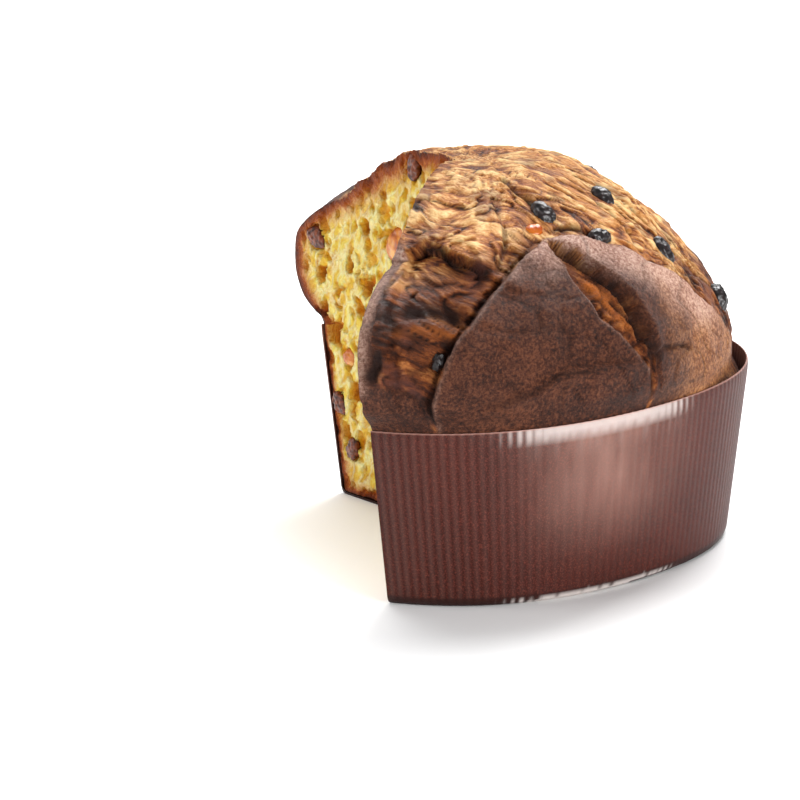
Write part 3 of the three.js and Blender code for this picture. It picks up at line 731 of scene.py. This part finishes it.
def domePlaces(bm):  # a square grid becomes a round dome: compass and climb of its points
    bm.verts.index_update()
    x, y = np.array([v.co[:2] for v in bm.verts]).T
    wide = np.abs(x) >= np.abs(y)
    reach = np.where(wide, np.abs(x), np.abs(y))
    safe = np.where(reach == 0, 1, np.where(wide, x, y))
    share = np.where(wide, y, x) / safe * 45
    compass = np.where(wide, np.where(x >= 0, 0, 180) + share, np.where(y >= 0, 90, 270) - share) % 360
    return compass, np.degrees(np.arcsin(np.clip(1 - reach ** 2, 0, 1)))


def makeLoaf():
    n = loafValues["segments"]
    bm = bmesh.new()
    bmesh.ops.create_grid(bm, x_segments=n, y_segments=n, size=1)
    compass, climb = domePlaces(bm)
    west, east, low, high = loafValues["fine"]
    fine = (compass > west) & (compass < east) & (climb > low) & (climb < high)
    edges = [e for e in bm.edges if fine[e.verts[0].index] and fine[e.verts[1].index]]
    bmesh.ops.subdivide_edges(bm, edges=edges, cuts=1, use_grid_fill=True)
    points = loafPlaces(*domePlaces(bm))
    for vert, point in zip(bm.verts, points):
        vert.co = point
    edge = [e for e in bm.edges if e.is_boundary]
    baseClimb = -math.degrees(math.atan((form["caseHeight"] - 1.25) / (form["footRadius"] - 1.25)))
    for low in loafValues["rowsBelow"] + [baseClimb + 0.6, baseClimb - 1, -60]:
        made = bmesh.ops.extrude_edge_only(bm, edges=edge)["geom"]
        verts = [g for g in made if isinstance(g, bmesh.types.BMVert)]
        edge = [g for g in made if isinstance(g, bmesh.types.BMEdge)]
        around = np.array([math.degrees(math.atan2(v.co.y, v.co.x)) % 360 for v in verts])
        for vert, point in zip(verts, loafPlaces(around, np.full(len(verts), float(low)))):
            vert.co = point
    edge = [e for e in bm.edges if e.is_boundary]
    bmesh.ops.contextual_create(bm, geom=edge)
    bmesh.ops.recalc_face_normals(bm, faces=bm.faces[:])
    loaf = newPiece("loaf_bread", bm, [])
    print("loaf formed:", len(loaf.data.polygons), "faces")
    cutAway(loaf, cutSlab("farSlab", form["farCut"], 90, crumb["farPitch"], farHoles, farFruit, 5))
    cutAway(loaf, cutSlab("nearSlab", form["nearCut"], -90, crumb["nearPitch"], nearHoles, nearFruit, 9))
    print("loaf cut:", len(loaf.data.polygons), "faces")
    return loaf


def dressLoaf(loaf):
    mesh = loaf.data
    points = places(mesh)
    fields = fieldsAt(points)
    offset = points - wedgeEdge
    pit = np.zeros(len(points))
    onCut = np.zeros(len(points), dtype=bool)
    # how thick the browned layer is: under, at the side, and below the crown on each face
    rindDepth = np.where(points[:, 2] < 14, 8.0, np.where(fields["climb"] < -2, 4.0, 5.5))
    for (along, out, xs, ys, cells), crownRind in zip(cutFaces, (11.5, 6)):
        inward = -(offset @ out)
        far = offset @ along
        near = (inward > -0.05) & (inward < 9) & (fields["depth"] > 0.02) & (far > -1)
        onCut |= near
        column = np.clip(np.round((far - xs[0]) / (xs[1] - xs[0])), 0, len(xs) - 1).astype(int)
        row = np.clip(np.round((points[:, 2] - ys[0]) / (ys[1] - ys[0])), 0, len(ys) - 1).astype(int)
        pit = np.where(near, np.maximum(pit, cells[row, column]), pit)
        rindDepth = np.where(near & (fields["climb"] > 0), crownRind, rindDepth)
    attribute(mesh, "pit", pit)
    attribute(mesh, "rind", np.clip(fields["depth"] / rindDepth, 0, 3))
    for name in crustMarks:
        attribute(mesh, name, fields[name])
    fromCentre = points - np.array([0, 0, form["caseHeight"]])
    here = fromCentre / np.linalg.norm(fromCentre, axis=1)[:, None] * 100
    layer = mesh.attributes.new("grain", "FLOAT_VECTOR", "POINT")
    layer.data.foreach_set("vector", fibrous(here, 4).astype(np.float32).ravel())
    mesh.materials.clear()
    mesh.materials.append(crustFinish)
    mesh.materials.append(crumbFinish)
    for face in mesh.polygons:
        face.use_smooth = True
        # a face belongs to the crumb if all of it lies under the crust
        face.material_index = 1 if onCut[list(face.vertices)].mean() > 0.6 else 0
    moveIntoFrame(mesh)
    count = sum(len(face.vertices) - 2 for face in mesh.polygons)
    print("loaf dressed:", count, "triangles")


loaf = makeLoaf()
dressLoaf(loaf)
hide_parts("loaf")
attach(loaf, "root")


caseValues = {"flutePitch": 3.4, "fluteDepth": 0.24, "crimpHeight": 3.2, "pointsPerFlute": 6}


def wedgePrism():
    bm = bmesh.new()
    corners = [wedgeEdge]
    for compass in (form["farCut"], math.degrees(wedgeMiddle), form["nearCut"]):
        a = math.radians(compass)
        corners.append(wedgeEdge + 300 * np.array([math.cos(a), math.sin(a), 0]))
    face = bm.faces.new([bm.verts.new((c[0], c[1], -40)) for c in corners])
    top = bmesh.ops.extrude_face_region(bm, geom=[face])["geom"]
    bmesh.ops.translate(bm, vec=(0, 0, 240), verts=[g for g in top if isinstance(g, bmesh.types.BMVert)])
    bmesh.ops.recalc_face_normals(bm, faces=bm.faces[:])
    return newPiece("wedgePrism", bm, [])


def makeCase():
    rim, foot, tall, paper = form["rimRadius"], form["footRadius"], form["caseHeight"], form["paper"]
    flutes = round(2 * math.pi * (rim + foot) / 2 / caseValues["flutePitch"])
    steps = flutes * caseValues["pointsPerFlute"]
    crimp = caseValues["crimpHeight"]
    profile = [(0.5, 0), (foot - 2.2, 0), (foot - 1.0, 0.5), (foot - 0.2, 1.5)]
    heights = [crimp, crimp + 1, 8, 16, 26, 36, 46, 56, 63, 66]
    profile += [(foot + slope * z, z) for z in heights]
    # the top of the wall rolls in a little and ends in the thin raw edge of the paper
    profile += [(rim - 0.42, 68), (rim - 0.42, 69.3), (rim - 0.5, tall), (rim - paper, tall)]
    profile += [(foot - paper + slope * z, z) for z in (60, 40, 20, 6, paper + 1.6)]
    profile += [(foot - paper - 2, paper), (0.5, paper)]
    bm = bmesh.new()
    verts = [bm.verts.new((r, 0, z)) for r, z in profile]
    edges = [bm.edges.new(pair) for pair in zip(verts, verts[1:])]
    bmesh.ops.spin(bm, geom=verts + edges, cent=(0, 0, 0), axis=(0, 0, 1), angle=2 * math.pi, steps=steps,
                   use_merge=True)
    bmesh.ops.remove_doubles(bm, verts=bm.verts[:], dist=0.01)
    for vert in bm.verts:
        compass = math.atan2(vert.co.y, vert.co.x)
        radius = math.hypot(vert.co.x, vert.co.y)
        outer = radius > foot - 2.4 + slope * vert.co.z * 0.98
        wave = 0.5 - 0.5 * math.cos(flutes * compass)
        fade = min(1, max(0, (vert.co.z - crimp) / 3))
        if outer and vert.co.z > 1.2:
            radius -= caseValues["fluteDepth"] * (0.25 + 0.75 * fade) * wave
        push = 1 + form["squareness"] * math.cos(4 * compass)
        vert.co.x = math.cos(compass) * radius * push
        vert.co.y = math.sin(compass) * radius * push
    holes = [e for e in bm.edges if e.is_boundary]
    bmesh.ops.holes_fill(bm, edges=holes, sides=0)
    bmesh.ops.recalc_face_normals(bm, faces=bm.faces[:])
    case = newPiece("case_paper", bm, [])
    cutAway(case, wedgePrism())
    mesh = case.data
    points = places(mesh)
    radius = np.hypot(points[:, 0], points[:, 1])
    around = np.arctan2(points[:, 1], points[:, 0])
    turned = np.mod(np.degrees(around), 360)
    nearEnd = 1 - between(turned, 252, 292) * (turned > 200)
    # the crests of the flutes, where their sheen is painted in as a paler colour, fainter from the front
    # round to the right
    attribute(mesh, "crest", (0.5 + 0.5 * np.cos(flutes * around)) * (0.25 + 0.75 * nearEnd))
    # the laid-in sheen: strongest on the right half of the front, fading towards the foot
    sheen = np.exp(-((turned - 299 + 6 * clouds(points, 25, 35)) / 17) ** 2) * between(points[:, 2], 8, 52)
    attribute(mesh, "laidSheen", 0.34 * sheen * (radius > 90) * (0.85 + 0.3 * clouds(points, 4, 36)))
    # painted highlights: white streaks along the top of the paper in three places, and white marks at the
    # foot below them
    where = np.zeros(len(points))
    for middle, reach in ((299, 24), (35, 20), (88, 14)):
        off = np.abs(np.mod(np.degrees(around) - middle + 180, 360) - 180)
        where = np.maximum(where, between(reach - off + 3 * np.cos(flutes * around), 0, 8))
    heights = points[:, 2] + 1.2 * clouds(points, 2.5, 31)
    streaks = where * between(heights, 62.5, 68)
    atFoot = between(2.6 + 1.5 * clouds(points, 3, 33) - points[:, 2], 0, 1.2) * (radius > 0.97 * foot)
    attribute(mesh, "rimHighlightAndFootMarks", np.maximum(0.5 * streaks, 0.7 * atFoot * where) * (radius > 90))
    attribute(mesh, "rawEdge", np.where((points[:, 2] > tall - 0.3) & (radius > 90), 0.7, 0.0))
    # the crimped foot is darker, and so is the base
    attribute(mesh, "crimp", 0.85 * between(crimp + 1.2 - points[:, 2], 0, 1.6))
    mesh.materials.clear()
    mesh.materials.append(paperFinish)
    moveIntoFrame(mesh)
    for face in mesh.polygons:
        face.use_smooth = True
    mesh.set_sharp_from_angle(angle=math.radians(50))
    return case


case = makeCase()
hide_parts("paper_case")
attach(case, "root")
print("case made:", len(case.data.polygons), "faces")


def makeFruit(node, seed):
    bm = bmesh.new()
    bm.from_mesh(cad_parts[node].data)
    bmesh.ops.remove_doubles(bm, verts=bm.verts[:], dist=0.00005)
    bmesh.ops.subdivide_edges(bm, edges=bm.edges[:], cuts=4, use_grid_fill=True, smooth=1.0)
    bm.normal_update()
    isPeel = "peel" in node
    spots = np.array([v.co for v in bm.verts]) / mm
    if isPeel:
        dent = 0.35 * creases(spots, 4.0, seed)
    else:
        dent = 0.75 * np.abs(clouds(spots, 2.6, seed)) + 0.4 * creases(spots, 1.6, seed + 1) - 0.45
    normals = [v.normal.copy() for v in bm.verts]
    for vert, normal, amount in zip(bm.verts, normals, dent):
        vert.co -= normal * (float(amount) * mm)
    if isPeel:
        finish = peelFinish
    else:
        finish = crustRaisinFinish if node.startswith("crust") else cutRaisinFinish
    piece = newPiece(node + "_fruit", bm, [finish])
    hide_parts(node)
    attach(piece, "root")


fruitNodes = sorted(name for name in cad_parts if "raisin" in name or "peel" in name)
for i, node in enumerate(fruitNodes):
    makeFruit(node, i + 1)
print("fruit made:", len(fruitNodes), "pieces")


def makeFloor():
    bm = bmesh.new()
    bmesh.ops.create_grid(bm, x_segments=1, y_segments=1, size=4)
    material, tree = newMaterial("white studio paper")
    # matt white background paper, so plain that it needs no pattern
    finishMaterial(tree, addNode(tree, "ShaderNodeBsdfPrincipled", {
        "Base Color": "#f4f4f4", "Roughness": 0.9, "IOR": 1.4}))
    floor = newPiece("floor", bm, [material])


lights = {  # compass and climb of each lamp from the loaf, distance and size in metres, power in watts
    "overhead": (60, 52, 1.4, 0.7, 20),
    "left": (188, 30, 1.6, 0.8, 8),
    "right": (304, 8, 1.7, 0.6, 30),
    "backdrop": (90, 55, 3.6, 3.5, 160),
}


def makeLights():
    for name, (compass, climb, far, size, power) in lights.items():
        lamp = bpy.data.lights.new(name, "AREA")
        lamp.size = size
        lamp.energy = power
        thing = bpy.data.objects.new(name, lamp)
        scene.collection.objects.link(thing)
        way = Vector(heading(np.array(float(compass)), np.array(float(climb))).tolist())
        thing.location = loafAxis + Vector((0, 0, 0.08)) + way * far
        thing.rotation_euler = way.to_track_quat("Z", "Y").to_euler()
    world = bpy.data.worlds.new("studio")
    scene.world = world
    world.use_nodes = True
    background = world.node_tree.nodes["Background"]
    background.inputs["Color"].default_value = linear("#ffffff")
    background.inputs["Strength"].default_value = 0.35


view = {"distance": 1.749, "climb": 15.776, "roll": 2.1996, "pitch": 1.8148, "yaw": 0.9668, "lens": 198.0}


def makeCamera():
    c = math.radians(view["climb"])
    place = Vector((0, -math.cos(c), math.sin(c))) * view["distance"]
    forward = -place.normalized()
    right = forward.cross(Vector((0, 0, 1))).normalized()
    up = right.cross(forward)
    rows = Matrix((right, up, forward))
    a, b, r = (math.radians(view[k]) for k in ("pitch", "yaw", "roll"))
    pitch = Matrix(((1, 0, 0), (0, math.cos(a), -math.sin(a)), (0, math.sin(a), math.cos(a))))
    yaw = Matrix(((math.cos(b), 0, math.sin(b)), (0, 1, 0), (-math.sin(b), 0, math.cos(b))))
    roll = Matrix(((math.cos(r), -math.sin(r), 0), (math.sin(r), math.cos(r), 0), (0, 0, 1)))
    rows = roll @ pitch @ yaw @ rows
    turn = Matrix((rows[0], rows[1], -rows[2])).transposed().to_4x4()
    data = bpy.data.cameras.new("camera")
    data.lens = view["lens"]
    data.sensor_width = 36
    data.clip_end = 20
    camera = bpy.data.objects.new("camera", data)
    camera.matrix_world = Matrix.Translation(place + loafAxis) @ turn
    scene.collection.objects.link(camera)
    scene.camera = camera


makeFloor()
makeLights()
makeCamera()
scene.view_settings.view_transform = "Standard"
print("stage set")
